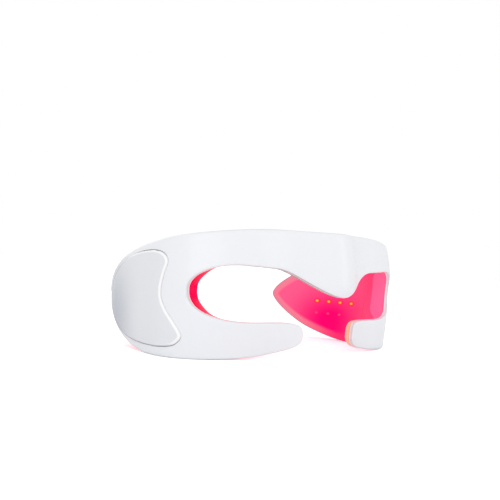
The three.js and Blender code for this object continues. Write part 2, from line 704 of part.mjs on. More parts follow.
const partsNear = boardFar + FIT_GAP;
const chip = block(CHIP_SIDE, CHIP_SIDE, partsNear, partsNear + CHIP_HEIGHT);
addNode("controller_chip", placed(chip, boardMatrix), chipBlack);
const plugX = BOARD_REACH - PLUG_LENGTH / 2 - FIT_GAP;
const plug = block(PLUG_LENGTH, PLUG_WIDTH, partsNear, partsNear + PLUG_HEIGHT, plugX);
addNode("flex_connector", placed(plug, boardMatrix), flexWhite);

// Charging socket: a steel sleeve that opens downwards, with its tongue joined to the sleeve's end.
const sleeve = placed(standing(portShape(0), -PORT_PROUD, PORT_LENGTH), portPlace);
const throatShape = standing(portShape(PORT_WALL), -PORT_PROUD - OVERRUN, PORT_LENGTH - PORT_WALL);
const throat = placed(throatShape, portPlace);
const tongueHeight = PORT_LENGTH - PORT_WALL / 2;
const tongueNear = partsNear + (PORT_HEIGHT - PORT_TONGUE) / 2;
const tongueFar = tongueNear + PORT_TONGUE;
const tongue = block(PORT_WIDTH - PORT_HEIGHT, tongueHeight, tongueNear, tongueFar, 0, tongueHeight / 2);
addNode("charging_socket", sleeve.subtract(throat).add(placed(tongue, portPlace)), steel);

// Screws: a low head with a round drive, and a plain shank.
function screwSolid(matrix, headNear, length) {
  const headFar = headNear + SCREW_HEAD_HEIGHT;
  return placed(peg(SCREW_HEAD_RADIUS, headNear, headFar), matrix)
    .add(placed(peg(SCREW_RADIUS, headNear, headNear + length, 10), matrix))
    .subtract(placed(peg(DRIVE_RADIUS, headNear - OVERRUN, headNear + DRIVE_DEPTH, 6), matrix));
}

const shellScrewNear = WELL_DEPTH - WELL_FLOOR - FIT_GAP - SCREW_HEAD_HEIGHT;
for (const { name, matrix } of screwPlaces) {
  addNode(name, screwSolid(matrix, shellScrewNear, SCREW_LENGTH), steel);
}
boardScrewMatrices.forEach((matrix, i) => {
  const turned = matrix.clone().multiply(new THREE.Matrix4().makeRotationY(Math.PI));
  const headNear = -(boardFar + FIT_GAP + SCREW_HEAD_HEIGHT);
  addNode(`${i ? "lower" : "upper"}_board_screw`, screwSolid(turned, headNear, BOARD_SCREW_LENGTH), steel);
});

// Battery pouch with its foam pad, and its two leads towards the brow.
const pouch = plate(roundedShape(BATTERY_LENGTH, BATTERY_HEIGHT, BATTERY_CORNER), batteryNear, batteryFar);
addNode("battery_pack", placed(pouch, batteryMatrix), pouchSilver);
const foam = block(FOAM_LENGTH, FOAM_HEIGHT, batteryFar + FIT_GAP, batteryFar + FIT_GAP + FOAM_THICKNESS);
addNode("battery_foam", placed(foam, batteryMatrix), foamGrey);

function leadSolid(z) {
  const middle = (batteryNear + batteryFar) / 2;
  const end = new THREE.Vector3(-BATTERY_LENGTH / 2 - FIT_GAP, z - BATTERY_Z, -middle);
  const depth = middle - sag(BATTERY_LENGTH / 2);
  const start = batteryS - BATTERY_LENGTH / 2;
  const onFace = [1 / 3, 2 / 3, 1].map((share) => facePoint(start - share * LEAD_LENGTH, z, depth));
  const points = [end.applyMatrix4(batteryMatrix), ...onFace];
  const shape = new THREE.Shape().absarc(0, 0, LEAD_RADIUS, 0, 2 * Math.PI);
  const path = new THREE.CatmullRomCurve3(points);
  return toManifold(new THREE.ExtrudeGeometry(shape, { steps: 8, curveSegments: 4, extrudePath: path }));
}

addNode("battery_lead_red", leadSolid(BATTERY_Z + LEAD_SPACING / 2), leadRed);
addNode("battery_lead_black", leadSolid(BATTERY_Z - LEAD_SPACING / 2), chipBlack);

// A thin light board on the back of the light cover.
function flexSolid(along, low, high) {
  const rows = 6;
  const far = (s) => flexNear(s) + FLEX_THICKNESS;
  const shape = { low, high, bevels: () => [0, 0], outer: flexNear, inner: far };
  return toManifold(wrapBox(along.length - 1, rows, bandMap(along, rows, shape)));
}

const mirrored = (along, side) => (side > 0 ? along : along.map((s) => -s).reverse());
const browTop = (s) => topEdge(s, FLEX_MARGIN);
const browHalf = joinStations(stations(0, ARCH_HALF, 20), stations(ARCH_HALF, OPENING_END, 8));
const browAlong = [...mirrored(browHalf.slice(1), -1), ...browHalf];
addNode("brow_light_board", flexSolid(browAlong, (s) => openingTop(s, FLEX_MARGIN), browTop), flexWhite);

for (const side of [-1, 1]) {
  const name = sideName(side);
  const cheekAlong = mirrored(stations(TIP_START + FLEX_MARGIN + FIT_GAP, OPENING_END, 14), side);
  const cheek = flexSolid(cheekAlong, (s) => bottomEdge(s, FLEX_MARGIN), (s) => openingLow(s, FLEX_MARGIN));
  addNode(`${name}_under_eye_light_board`, cheek, flexWhite);
  const templeAlong = mirrored(stations(TEMPLE_FLEX_FROM, TEMPLE_FLEX_TO, 12), side);
  const temple = flexSolid(templeAlong, () => TEMPLE_FLEX_LOW, () => TEMPLE_FLEX_HIGH);
  addNode(`${name}_temple_light_board`, temple, flexWhite);
}

// Lights: each is a small block that stands on its light board and faces the wearer.
function addLight(name, s, z) {
  const near = FLEX_THICKNESS + FIT_GAP;
  const lamp = block(LED_LENGTH, LED_WIDTH, near, near + LED_HEIGHT);
  addNode(name, placed(lamp, seatMatrix(s, z, flexNear)), lampAmber);
}

for (let i = -BROW_LEDS_EACH_SIDE; i <= BROW_LEDS_EACH_SIDE; i += 1) {
  addLight(`brow_led_${i + BROW_LEDS_EACH_SIDE + 1}`, i * LED_PITCH, BROW_LED_Z);
}
for (const side of [-1, 1]) {
  const name = sideName(side);
  for (let i = 0; i < CHEEK_LEDS; i += 1) {
    const s = CHEEK_LED_START + i * LED_PITCH;
    addLight(`${name}_under_eye_led_${i + 1}`, side * s, (openingLow(s) + bottomEdge(s)) / 2);
  }
  TEMPLE_LED_COUNTS.forEach((count, row) => {
    for (let i = 0; i < count; i += 1) {
      const s = TEMPLE_LED_START + (i + TEMPLE_LED_COUNTS[0] - count) * TEMPLE_LED_PITCH;
      const z = TEMPLE_LED_Z - row * LED_ROW_PITCH;
      addLight(`${name}_temple_led_${row ? "lower" : "upper"}_${i + 1}`, side * s, z);
    }
  });
}

export default mask;
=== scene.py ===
import json
import math

import bmesh
import bpy
from mathutils import Matrix, Vector, kdtree


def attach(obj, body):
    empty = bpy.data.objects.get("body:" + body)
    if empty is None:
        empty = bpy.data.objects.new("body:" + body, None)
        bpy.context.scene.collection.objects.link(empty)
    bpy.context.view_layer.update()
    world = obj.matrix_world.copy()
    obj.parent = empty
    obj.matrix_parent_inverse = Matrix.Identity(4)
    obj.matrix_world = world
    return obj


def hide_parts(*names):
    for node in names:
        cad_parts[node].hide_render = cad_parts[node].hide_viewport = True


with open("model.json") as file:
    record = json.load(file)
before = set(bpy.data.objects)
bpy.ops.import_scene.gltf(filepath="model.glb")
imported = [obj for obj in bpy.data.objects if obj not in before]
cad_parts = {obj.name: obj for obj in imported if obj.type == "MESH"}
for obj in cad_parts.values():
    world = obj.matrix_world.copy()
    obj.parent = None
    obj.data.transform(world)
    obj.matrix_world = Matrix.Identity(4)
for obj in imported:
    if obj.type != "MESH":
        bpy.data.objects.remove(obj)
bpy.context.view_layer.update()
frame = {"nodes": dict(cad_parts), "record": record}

# Studio: a pale floor under the mask and a white room. Soft lamps stand over the camera's shoulder,
# low on the right and behind the mask, and the room gives the rest of the light. The floor keeps the
# mask's own shadow.
bpy.context.scene.view_settings.view_transform = "Standard"
WHITE = (1, 1, 1, 1)
ROOM_LIGHT = 0.88
FLOOR_SIZE = 6.0
FLOOR_COLOUR = (0.93, 0.93, 0.935, 1)
FLOOR_ROUGHNESS = 0.9
FLOOR_SPECULAR = 0.1
FLOOR_GLOW = 0.47
LAMP_AIM = Vector((0, 0, 0.03))
LAMPS = [
    # name, place, size, power
    ("key_lamp", (-0.75, -0.85, 0.5), 0.9, 2.0),
    ("side_lamp", (0.6, -0.8, 0.35), 0.5, 0.4),
    ("back_lamp", (0.2, 0.9, 0.7), 0.6, 0.6),
]

world = bpy.data.worlds.new("white_room")
bpy.context.scene.world = world
world.use_nodes = True
room = world.node_tree
room.nodes.clear()
room_path = room.nodes.new("ShaderNodeLightPath")
seen_or_through = room.nodes.new("ShaderNodeMath")
seen_or_through.operation = "MAXIMUM"
room.links.new(room_path.outputs["Is Camera Ray"], seen_or_through.inputs[0])
room.links.new(room_path.outputs["Is Transmission Ray"], seen_or_through.inputs[1])
room_light = room.nodes.new("ShaderNodeBackground")
room_light.inputs["Color"].default_value = WHITE
room_light.inputs["Strength"].default_value = ROOM_LIGHT
room_white = room.nodes.new("ShaderNodeBackground")
room_white.inputs["Color"].default_value = WHITE
room_mix = room.nodes.new("ShaderNodeMixShader")
room.links.new(seen_or_through.outputs[0], room_mix.inputs["Fac"])
room.links.new(room_light.outputs[0], room_mix.inputs[1])
room.links.new(room_white.outputs[0], room_mix.inputs[2])
room_out = room.nodes.new("ShaderNodeOutputWorld")
room.links.new(room_mix.outputs[0], room_out.inputs["Surface"])

for lamp_name, lamp_place, lamp_size, lamp_power in LAMPS:
    lamp = bpy.data.objects.new(lamp_name, bpy.data.lights.new(lamp_name, "AREA"))
    lamp.data.size = lamp_size
    lamp.data.energy = lamp_power
    lamp.location = lamp_place
    aim = LAMP_AIM - lamp.location
    lamp.rotation_euler = aim.to_track_quat("-Z", "Y").to_euler()
    bpy.context.scene.collection.objects.link(lamp)

floor_bm = bmesh.new()
bmesh.ops.create_grid(floor_bm, x_segments=1, y_segments=1, size=FLOOR_SIZE / 2)
floor_mesh = bpy.data.meshes.new("floor")
floor_bm.to_mesh(floor_mesh)
floor_bm.free()
floor = bpy.data.objects.new("floor", floor_mesh)
bpy.context.scene.collection.objects.link(floor)
floor_material = bpy.data.materials.new("pale_floor")
floor_material.use_nodes = True
floor_tree = floor_material.node_tree
floor_matte = floor_tree.nodes["Principled BSDF"]
floor_matte.inputs["Base Color"].default_value = FLOOR_COLOUR
floor_matte.inputs["Roughness"].default_value = FLOOR_ROUGHNESS
floor_matte.inputs["Specular IOR Level"].default_value = FLOOR_SPECULAR
floor_path = floor_tree.nodes.new("ShaderNodeLightPath")
floor_seen = floor_tree.nodes.new("ShaderNodeMath")
floor_seen.operation = "MULTIPLY"
floor_seen.inputs[1].default_value = FLOOR_GLOW
floor_tree.links.new(floor_path.outputs["Is Camera Ray"], floor_seen.inputs[0])
floor_matte.inputs["Emission Color"].default_value = WHITE
floor_tree.links.new(floor_seen.outputs[0], floor_matte.inputs["Emission Strength"])
floor_mesh.materials.append(floor_material)

# Camera: level with the mask, off its right front corner and tipped a little, as in the photograph.
# It is placed from the front of the nose ridge, which it sees right of the middle of the frame.
NOSE_FRONT = Vector((0, -0.06064, 0.0328))
CAMERA_AZIMUTH = math.radians(44)
CAMERA_ELEVATION = math.radians(2.751)
CAMERA_ROLL = math.radians(-3.25)
CAMERA_DISTANCE = 0.40614
CAMERA_ASIDE = 0.05186
CAMERA_ABOVE = 0.0022
FRAME_PIXELS = 500
FOCAL_PIXELS = 761.5
SENSOR = 36.0
FRAME_SHIFT = 0.09
NEAREST_SEEN = 0.01

ahead = Vector(
    (
        math.sin(CAMERA_AZIMUTH) * math.cos(CAMERA_ELEVATION),
        math.cos(CAMERA_AZIMUTH) * math.cos(CAMERA_ELEVATION),
        -math.sin(CAMERA_ELEVATION),
    )
)
level_right = Vector((math.cos(CAMERA_AZIMUTH), -math.sin(CAMERA_AZIMUTH), 0))
level_up = level_right.cross(ahead)
right = level_right * math.cos(CAMERA_ROLL) - level_up * math.sin(CAMERA_ROLL)
up = level_right * math.sin(CAMERA_ROLL) + level_up * math.cos(CAMERA_ROLL)
camera = bpy.data.objects.new("camera", bpy.data.cameras.new("camera"))
camera.data.sensor_width = SENSOR
camera.data.lens = SENSOR * FOCAL_PIXELS / FRAME_PIXELS
camera.data.shift_y = FRAME_SHIFT
camera.data.clip_start = NEAREST_SEEN
place = NOSE_FRONT - ahead * CAMERA_DISTANCE - right * CAMERA_ASIDE + up * CAMERA_ABOVE
camera.matrix_world = Matrix.Translation(place) @ Matrix((right, up, -ahead)).transposed().to_4x4()
bpy.context.scene.collection.objects.link(camera)
bpy.context.scene.camera = camera

# Outer shell: one glossy white moulding that runs from temple to temple over the brow and back under
# each eye. It is drawn as a flat pattern, x along the face, y into the mask and z up from the nose
# arch, given its wall and rolled edge there, and then wrapped round the head.
FRONT_RADIUS = 0.4708
FRONT_ANGLE = math.radians(5.075)
BROW_RADIUS = 0.0689
BROW_ANGLE = math.radians(39.7)
CORNER_RADIUS = 0.027
CORNER_ANGLE = math.radians(93.07)
SIDE_RADIUS = 0.1544
ARM_LENGTH = 0.1813
NOSE_RISE = 0.0122
NOSE_HALF_WIDTH = 0.0192
TOP_LEAN = 0.0055
BOTTOM_LEAN = 0.0015
CHEEK_TUCK = 0.0047
CHEEK_REACH = 0.070
CHEEK_TOP = 0.007
CHEEK_BLEND = 0.0167
TIP_FORWARD = 0.0028
TIP_RELAX = 0.020
TIP_TOP = -0.008
TIP_BLEND = 0.008
TOP_Z = 0.0346
BOTTOM_Z = -0.0328
REAR_Z = -0.0046
ARCH_Z = 0.0002
OPENING_TOP_Z = 0.0151
OPENING_LOW_Z = -0.0137
OPENING_END_Z = 0.0029
TIP_Z = -0.0215
TOP_FLAT = 0.031
ARCH_HALF = 0.0398
OPENING_TOP_END = 0.0602
OPENING_LOW_END = 0.0481
OPENING_END = 0.0886
TIP_START = 0.0205
TIP_ROUND = 0.0133
CHEEK_ROUND = 0.0645
REAR_ROUND = 0.0663
ARCH_SHARE = 0.93
TOP_POWER = 1.6
TOP_END_POWER = 1.75
REAR_POWER = 1.56
TIP_POWER = 3.6
CHEEK_POWER = 2.48
OPENING_TOP_POWER = 1.94
OPENING_LOW_POWER = 2.43
END_SHARE = 0.9995
# The walls round the outer end of an eye opening lean towards the nose as they go in.
WINDOW_LEAN = 0.007
LEAN_DEPTH = 0.0145
LEAN_RISE = 0.023
LEAN_BEFORE = 0.003
LEAN_BEHIND = 0.0015
LEAN_FALL = 0.0155
SHELL_WALL = 0.002
SHELL_RIM = 0.0026
SHELL_ROLL = 0.0012
RIM_ROUND = 0.0003
# The most of a shallow wall's height that its rolled edge takes, and the smallest roll.
ROLL_SHARE = 0.8
LEAST_ROLL = 1e-5
# Steps of the flat sheet: across the brow or bar, and along the brow, its end over the eye opening,
# the tip under the eye, the bar, its end under the opening, the arm and the arm's rear end.
SHEET_ROWS = 28
BROW_STEPS = 50
BROW_END_STEPS = 34
TIP_STEPS = 22
BAR_STEPS = 13
BAR_END_STEPS = 40
ARM_STEPS = 20
REAR_STEPS = 60
SEAM_GAP = 1e-7
# Rows and columns of the sheet that lie in the rolled edge, as shares of its radius.
ROLL_ROWS = [0, 0.049, 0.191, 0.412, 0.691, 1]
EDGE_ROWS = 2 * (len(ROLL_ROWS) - 1) / SHEET_ROWS
SHARP_ANGLE = math.radians(40)
SHELL_WHITE = (0.86, 0.875, 0.91, 1)
SHELL_REAR_SHADE = (0.66, 0.685, 0.735, 1)
SHELL_EDGE_SHADE = (0.38, 0.37, 0.39, 1)
SHELL_ROUGHNESS = 0.28
SHELL_COAT = 0.15
COAT_ROUGHNESS = 0.05
# Where its colours change, from one place to the other: along the face, in height or inside the
# outline.
REAR_SHADE_ALONG = (0.135, 0.165)
LINE_INSIDE = (0.0005, 0.0001)
LINE_OUTSIDE = (-0.0008, -0.0003)
LINE_FROM_MIDDLE = (0.0001, 0.0003)
BROW_LINE_ALONG = (0.060, 0.045)
BROW_LINE_LOW = (-0.012, -0.008)
BROW_LINE_TOP = (0.024, 0.020)
EDGE_SHADE_STRENGTH = 0.32
BROW_LINE_STRENGTH = 0.4
FIT_GAP = 0.0003
# The seat of each temple panel: the panel's outline, from its foot to its head.
PANEL_FRONT = 0.0898
PANEL_LOW_Z = -0.0277
PANEL_TOP_Z = 0.0203
PANEL_SPINE = 0.1115
PANEL_REAR = 0.1681
PANEL_EDGE_SWAY = 0.014
PANEL_EDGE = [
    (1.16, 0),
    (0.51, 0.018),
    (0.2, 0.052),
    (0, 0.136),
    (0.25, 0.254),
    (0.63, 0.389),
    (0.87, 0.507),
    (0.92, 0.621),
    (0.84, 0.757),
    (0.73, 0.873),
    (0.83, 0.943),
    (1.15, 0.987),
    (1.59, 1),
]
PANEL_TOP_POWER = 1.76
PANEL_LOW_POWER = 2.27
PANEL_SEAT = 0.001
PANEL_ROLL = 0.0009
# Rows inside a panel's rolled edge, steps up and along its middle, its least width, and how often the
# search for its front edge is halved.
PANEL_BORDER = [0.0013, 0.002, 0.003, 0.0045]
PANEL_ROWS = 44
PANEL_COLUMNS = 60
PANEL_LEAST = 0.001
SEARCH_HALVINGS = 40
# The slot of the power button, in the right arm, and the pocket for its flange.
BUTTON_S = -0.1713
BUTTON_Z = -0.0082
BUTTON_WIDTH = 0.0034
BUTTON_HEIGHT = 0.008
POCKET_GROW = 0.0013
POCKET_DEPTH = 0.0021
# The screw holes under the panels.
HOLE_S = 0.1076
HOLE_Z = (0.013, -0.0236)
HOLE_WIDTH = 0.0042
PILL_STEPS = 16
# The sockets of a Mix node for its share and its two colours.
MIX_SOCKETS = (0, 6, 7)


def mix(a, b, share):
    return a * (1 - share) + b * share


def clamp01(value):
    return min(1.0, max(0.0, value))


def smooth(value):
    value = clamp01(value)
    return value * value * (3 - 2 * value)


def plan_at(s):
    """The turn of the face and its place in x and y, seen from above, at a length s from the nose."""
    brow_start = FRONT_RADIUS * FRONT_ANGLE
    corner_start = brow_start + BROW_RADIUS * (BROW_ANGLE - FRONT_ANGLE)
    side_start = corner_start + CORNER_RADIUS * (CORNER_ANGLE - BROW_ANGLE)
    turn, x, y = 0.0, 0.0, 0.0
    for radius, start, stop in (
        (FRONT_RADIUS, 0, brow_start),
        (BROW_RADIUS, brow_start, corner_start),
        (CORNER_RADIUS, corner_start, side_start),
        (SIDE_RADIUS, side_start, math.inf),
    ):
        end = turn + max(0.0, min(s, stop) - start) / radius
        x += radius * (math.sin(end) - math.sin(turn))
        y += radius * (math.cos(turn) - math.cos(end))
        turn = end
    return turn, x, y


def face_point(s, z, depth):
    """A point of the mask, at a length s along its face, a height z and a depth under the face."""
    from_end = abs(s) - OPENING_END
    rise = smooth((from_end + LEAN_BEFORE + LEAN_RISE) / LEAN_RISE)
    fall = smooth((from_end - LEAN_BEHIND) / LEAN_FALL)
    along = abs(s) - WINDOW_LEAN * (depth / LEAN_DEPTH) * (rise - fall)
    turn, x, y = plan_at(along)
    lean = TOP_LEAN * (z / TOP_Z) ** 2 if z > 0 else BOTTOM_LEAN * (z / BOTTOM_Z) ** 2
    nose = NOSE_RISE * (1 - math.exp(-((along / NOSE_HALF_WIDTH) ** 2)))
    cheek = CHEEK_TUCK * math.exp(-((along / CHEEK_REACH) ** 2))
    cheek *= smooth((CHEEK_TOP - z) / CHEEK_BLEND)
    tip = TIP_FORWARD * smooth((TIP_START + TIP_RELAX - along) / TIP_RELAX)
    tip *= smooth((TIP_TOP - z) / TIP_BLEND)
    inward = lean + depth
    across = x - inward * math.sin(turn)
    back = y + inward * math.cos(turn) + nose + cheek - tip
    return Vector((math.copysign(across, s), back, z)) + NOSE_FRONT


def round_off(along, power, end_power=None):
    w = min(clamp01(along), END_SHARE)
    return (1 - w**power) ** (1 / (end_power or power))


def top_edge(s, inset):
    along = (s - TOP_FLAT) / (ARM_LENGTH - inset - TOP_FLAT)
    return REAR_Z + (TOP_Z - inset - REAR_Z) * round_off(along, TOP_POWER, TOP_END_POWER)


def bottom_edge(s, inset):
    cheek_start = TIP_START + CHEEK_ROUND
    if s > cheek_start:
        along = (s - ARM_LENGTH + REAR_ROUND) / (REAR_ROUND - inset)
        return REAR_Z + (BOTTOM_Z + inset - REAR_Z) * round_off(along, REAR_POWER)
    along = (cheek_start - s) / (CHEEK_ROUND - inset)
    return TIP_Z + (BOTTOM_Z + inset - TIP_Z) * round_off(along, CHEEK_POWER)


def opening_low(s, inset):
    tip_end = TIP_START + TIP_ROUND
    if s < tip_end:
        along = (tip_end - s) / (TIP_ROUND - inset)
        return TIP_Z + (OPENING_LOW_Z - inset - TIP_Z) * round_off(along, TIP_POWER)
    w = clamp01((s - OPENING_LOW_END) / (OPENING_END + inset - OPENING_LOW_END))
    share = (1 - w**OPENING_LOW_POWER) ** (1 / OPENING_LOW_POWER)
    return OPENING_END_Z + (OPENING_LOW_Z - inset - OPENING_END_Z) * share


def opening_top(s, inset):
    if s < OPENING_TOP_END:
        arch = ARCH_SHARE * smooth(s / ARCH_HALF)
        brow = (1 - ARCH_SHARE) * clamp01((s - ARCH_HALF) / (OPENING_TOP_END - ARCH_HALF))
        return ARCH_Z + inset + (OPENING_TOP_Z - ARCH_Z) * (arch + brow)
    w = clamp01((s - OPENING_TOP_END) / (OPENING_END + inset - OPENING_TOP_END))
    share = (1 - w**OPENING_TOP_POWER) ** (1 / OPENING_TOP_POWER)
    return OPENING_END_Z + (OPENING_TOP_Z + inset - OPENING_END_Z) * share


def middle_line(s, inset):
    start = OPENING_END + inset
    return mix(OPENING_END_Z, REAR_Z, smooth((s - start) / (ARM_LENGTH - start)))


def stations(start, stop, count, ease=0):
    """Places from start to stop. ease crowds them towards the round end: 1 for stop, -1 for start."""
    shares = [i / count for i in range(count + 1)]
    if ease > 0:
        shares = [math.sin(share * math.pi / 2) for share in shares]
    if ease < 0:
        shares = [1 - math.cos(share * math.pi / 2) for share in shares]
    return [mix(start, stop, share) for share in shares]


def strip(bm, along, low, high, rows, roll):
    """A flat grid between a low and a high edge. Its rows lie close together in the rolled edges."""
    made = bmesh.ops.create_grid(bm, x_segments=len(along) - 1, y_segments=rows, size=0.5)
    for v in made["verts"]:
        s = along[round((v.co.x + 0.5) * (len(along) - 1))]
        row = round((v.co.y + 0.5) * rows)
        nearest = min(row, rows - row)
        bottom, top = low(abs(s)), high(abs(s))
        half = (top - bottom) / 2
        if nearest < len(ROLL_ROWS):
            inside = min(half * 2 * nearest / rows, roll * ROLL_ROWS[nearest])
        else:
            share = (2 * nearest / rows - EDGE_ROWS) / (1 - EDGE_ROWS)
            inside = mix(min(half * EDGE_ROWS, roll), half, share)
        v.co = Vector((s, 0, top - inside if row > nearest else bottom + inside))
    return made["verts"]


def outline_sheet(bm, inset, roll):
    """The whole outline of the mask as a flat sheet, inset from its edge. Returns its points."""
    open_end = OPENING_END + inset
    land_end = ARM_LENGTH - REAR_ROUND
    rear_end = land_end + (REAR_ROUND - inset) * END_SHARE
    tip_end = TIP_START + TIP_ROUND
    tip_start = tip_end - (TIP_ROUND - inset) * END_SHARE
    arm = [open_end + share * roll for share in ROLL_ROWS[1:]]
    arm += stations(arm[-1], land_end, ARM_STEPS)[1:]
    arm += stations(land_end, rear_end, REAR_STEPS, 1)[1:]
    brow = stations(0, OPENING_TOP_END, BROW_STEPS)
    brow += stations(OPENING_TOP_END, open_end, BROW_END_STEPS, 1)[1:] + arm
    bar = stations(tip_start, tip_end, TIP_STEPS, -1)
    bar += stations(tip_end, OPENING_LOW_END, BAR_STEPS)[1:]
    bar += stations(OPENING_LOW_END, open_end, BAR_END_STEPS, 1)[1:] + arm
    points = strip(
        bm,
        [-s for s in brow[:0:-1]] + brow,
        lambda s: middle_line(s, inset) if s >= open_end else opening_top(s, inset),
        lambda s: top_edge(s, inset),
        SHEET_ROWS,
        roll,
    )
    for along in (bar, [-s for s in bar[::-1]]):
        points += strip(
            bm,
            along,
            lambda s: bottom_edge(s, inset),
            lambda s: middle_line(s, inset) if s >= open_end else opening_low(s, inset),
            SHEET_ROWS,
            roll,
        )
    bmesh.ops.remove_doubles(bm, verts=points, dist=SEAM_GAP)
    return [v for v in points if v.is_valid]


def outline_ring(edges):
    """The points of the sheet's outline in order, from the middle of the brow towards the left arm."""
    start = max((v for e in edges for v in e.verts), key=lambda v: v.co.z - abs(v.co.x))
    ring = [start, max((e.other_vert(start) for e in start.link_edges if e in edges), key=lambda v: v.co.x)]
    while ring[-1] != start:
        ways = [e.other_vert(ring[-1]) for e in ring[-1].link_edges if e in edges]
        ring.append(ways[0] if ways[1] == ring[-2] else ways[1])
    return ring[:-1]


def edge_finder(edges):
    """A tree of points along the edges, which tells how far a place is from the sheet's outline."""
    steps = 4
    tree = kdtree.KDTree(len(edges) * steps)
    for n, edge in enumerate(edges):
        a, b = edge.verts[0].co, edge.verts[1].co
        for i in range(steps):
            tree.insert(a.lerp(b, i / steps), n * steps + i)
    tree.balance()
    return tree


def rolled(distance, radius):
    """How far a rounded edge of this radius has dropped, at a distance from the outline."""
    inside = max(0.0, radius - distance)
    return radius - math.sqrt(max(0.0, radius * radius - inside * inside))


def walled(bm, ring, next_ring):
    """Faces between two rings of points, one quad for each step."""
    for i, point in enumerate(ring):
        bm.faces.new((ring[i - 1], point, next_ring[i], next_ring[i - 1]))


def moulding(face, rim, wall, roll):
    """A flat tray in the outline of the mask: its face with a rolled edge, a side wall up to the rim,
    and the same again inside at the thickness of the wall. Its attribute, pattern, keeps each point's
    place in the flat pattern and its distance inside the outline, which is negative on the wall."""
    bm = bmesh.new()
    pattern = bm.verts.layers.float_vector.new("pattern")
    rims = []
    for inset in (0.0, wall):
        verts = outline_sheet(bm, inset, roll)
        own = set(verts)
        border = {e for e in bm.edges if e.is_boundary and e.verts[0] in own}
        tree = edge_finder(border)
        for v in verts:
            distance = tree.find(v.co)[2]
            v[pattern] = (v.co.x, v.co.z, distance)
            # A shallow wall leaves room for a smaller rolled edge only.
            room = rim - face(v.co.x)
            radius = max(min(roll, ROLL_SHARE * abs(room)) - inset, LEAST_ROLL)
            v.co.y = face(v.co.x) + math.copysign(inset + rolled(distance, radius), room)
        ring = outline_ring(border)
        rims.append([bm.verts.new((v.co.x, rim, v.co.z)) for v in ring])
        for v, foot in zip(rims[-1], ring):
            v[pattern] = (foot.co.x, foot.co.z, -abs(v.co.y - foot.co.y))
        walled(bm, ring, rims[-1])
    walled(bm, *rims)
    bm.edges.ensure_lookup_table()
    corners = [bm.edges.get((ring[i - 1], v)) for ring in rims for i, v in enumerate(ring)]
    bmesh.ops.bevel(
        bm, geom=corners, offset=RIM_ROUND, segments=2, profile=0.5, affect="EDGES", material=-1
    )
    return bm


def panel_front(z):
    """The bean-shaped front edge of a temple panel: a Catmull-Rom curve through its points."""
    low, high = 0.0, len(PANEL_EDGE) - 1.0
    place = PANEL_FRONT
    for _ in range(SEARCH_HALVINGS):
        middle = (low + high) / 2
        k = min(int(middle), len(PANEL_EDGE) - 2)
        near = [PANEL_EDGE[min(max(k + i, 0), len(PANEL_EDGE) - 1)] for i in (-1, 0, 1, 2)]
        share = middle - k
        out, up = (
            0.5
            * (
                2 * b
                + (c - a) * share
                + (2 * a - 5 * b + 4 * c - d) * share**2
                + (3 * b - a - 3 * c + d) * share**3
            )
            for a, b, c, d in zip(*near)
        )
        place = PANEL_FRONT + out * PANEL_EDGE_SWAY
        if mix(PANEL_LOW_Z, PANEL_TOP_Z, up) < z:
            low = middle
        else:
            high = middle
    return place


def panel_rear(z):
    reach, power = (PANEL_TOP_Z, PANEL_TOP_POWER) if z > REAR_Z else (PANEL_LOW_Z, PANEL_LOW_POWER)
    return PANEL_SPINE + (PANEL_REAR - PANEL_SPINE) * round_off((z - REAR_Z) / (reach - REAR_Z), power)


def panel_sheet(bm, side, grow, depth):
    """A flat grid in the outline of a temple panel, grown on all sides. Returns its points and ring."""
    edge = [share * PANEL_ROLL for share in ROLL_ROWS] + PANEL_BORDER
    border = edge[-1]
    height = PANEL_TOP_Z - PANEL_LOW_Z
    far_edge = [height - e for e in reversed(edge)]
    rows = edge + stations(border, height - border, PANEL_ROWS)[1:-1] + far_edge
    columns = edge + stations(border, height - border, PANEL_COLUMNS)[1:-1] + far_edge
    grid = []
    for row in rows:
        z = PANEL_LOW_Z + row
        front = panel_front(z)
        rear = max(panel_rear(z), front + PANEL_LEAST) + grow
        front -= grow
        span = min(1.0, (rear - front) / height)
        middle = rear - front - 2 * border * span
        line = []
        for column in columns:
            if column < height / 2:
                start, way, inwards = front, 1, column
            else:
                start, way, inwards = rear, -1, height - column
            s = start + way * min(inwards, border) * span
            s += way * max(0.0, inwards - border) / (height - 2 * border) * middle
            line.append(bm.verts.new((side * s, depth, z + mix(-grow, grow, row / height))))
        grid.append(line)
    for low_line, high_line in zip(grid, grid[1:]):
        for i in range(len(columns) - 1):
            bm.faces.new((low_line[i], low_line[i + 1], high_line[i + 1], high_line[i]))
    ring = grid[0] + [line[-1] for line in grid[1:]]
    ring += grid[-1][-2::-1] + [line[0] for line in grid[-2:0:-1]]
    return [v for line in grid for v in line], ring


def cut(bm, cutters):
    """The flat pattern without the cutters, which are flat patterns too."""
    made = []
    for source in (bm, cutters):
        bmesh.ops.recalc_face_normals(source, faces=source.faces)
        mesh = bpy.data.meshes.new("cut")
        source.to_mesh(mesh)
        source.free()
        made.append(bpy.data.objects.new("cut", mesh))
        bpy.context.scene.collection.objects.link(made[-1])
    boolean = made[0].modifiers.new("cut", "BOOLEAN")
    boolean.operation = "DIFFERENCE"
    boolean.solver = "EXACT"
    boolean.object = made[1]
    result = bpy.data.meshes.new_from_object(made[0].evaluated_get(bpy.context.evaluated_depsgraph_get()))
    bm = bmesh.new()
    bm.from_mesh(result)
    bpy.data.meshes.remove(result)
    for item in made:
        mesh = item.data
        bpy.data.objects.remove(item)
        bpy.data.meshes.remove(mesh)
    return bm


def wrapped(bm, name):
    """Wraps a flat pattern round the head and makes the piece's object from it."""
    for v in bm.verts:
        v.co = face_point(v.co.x, v.co.z, v.co.y)
    return finished(bm, name)


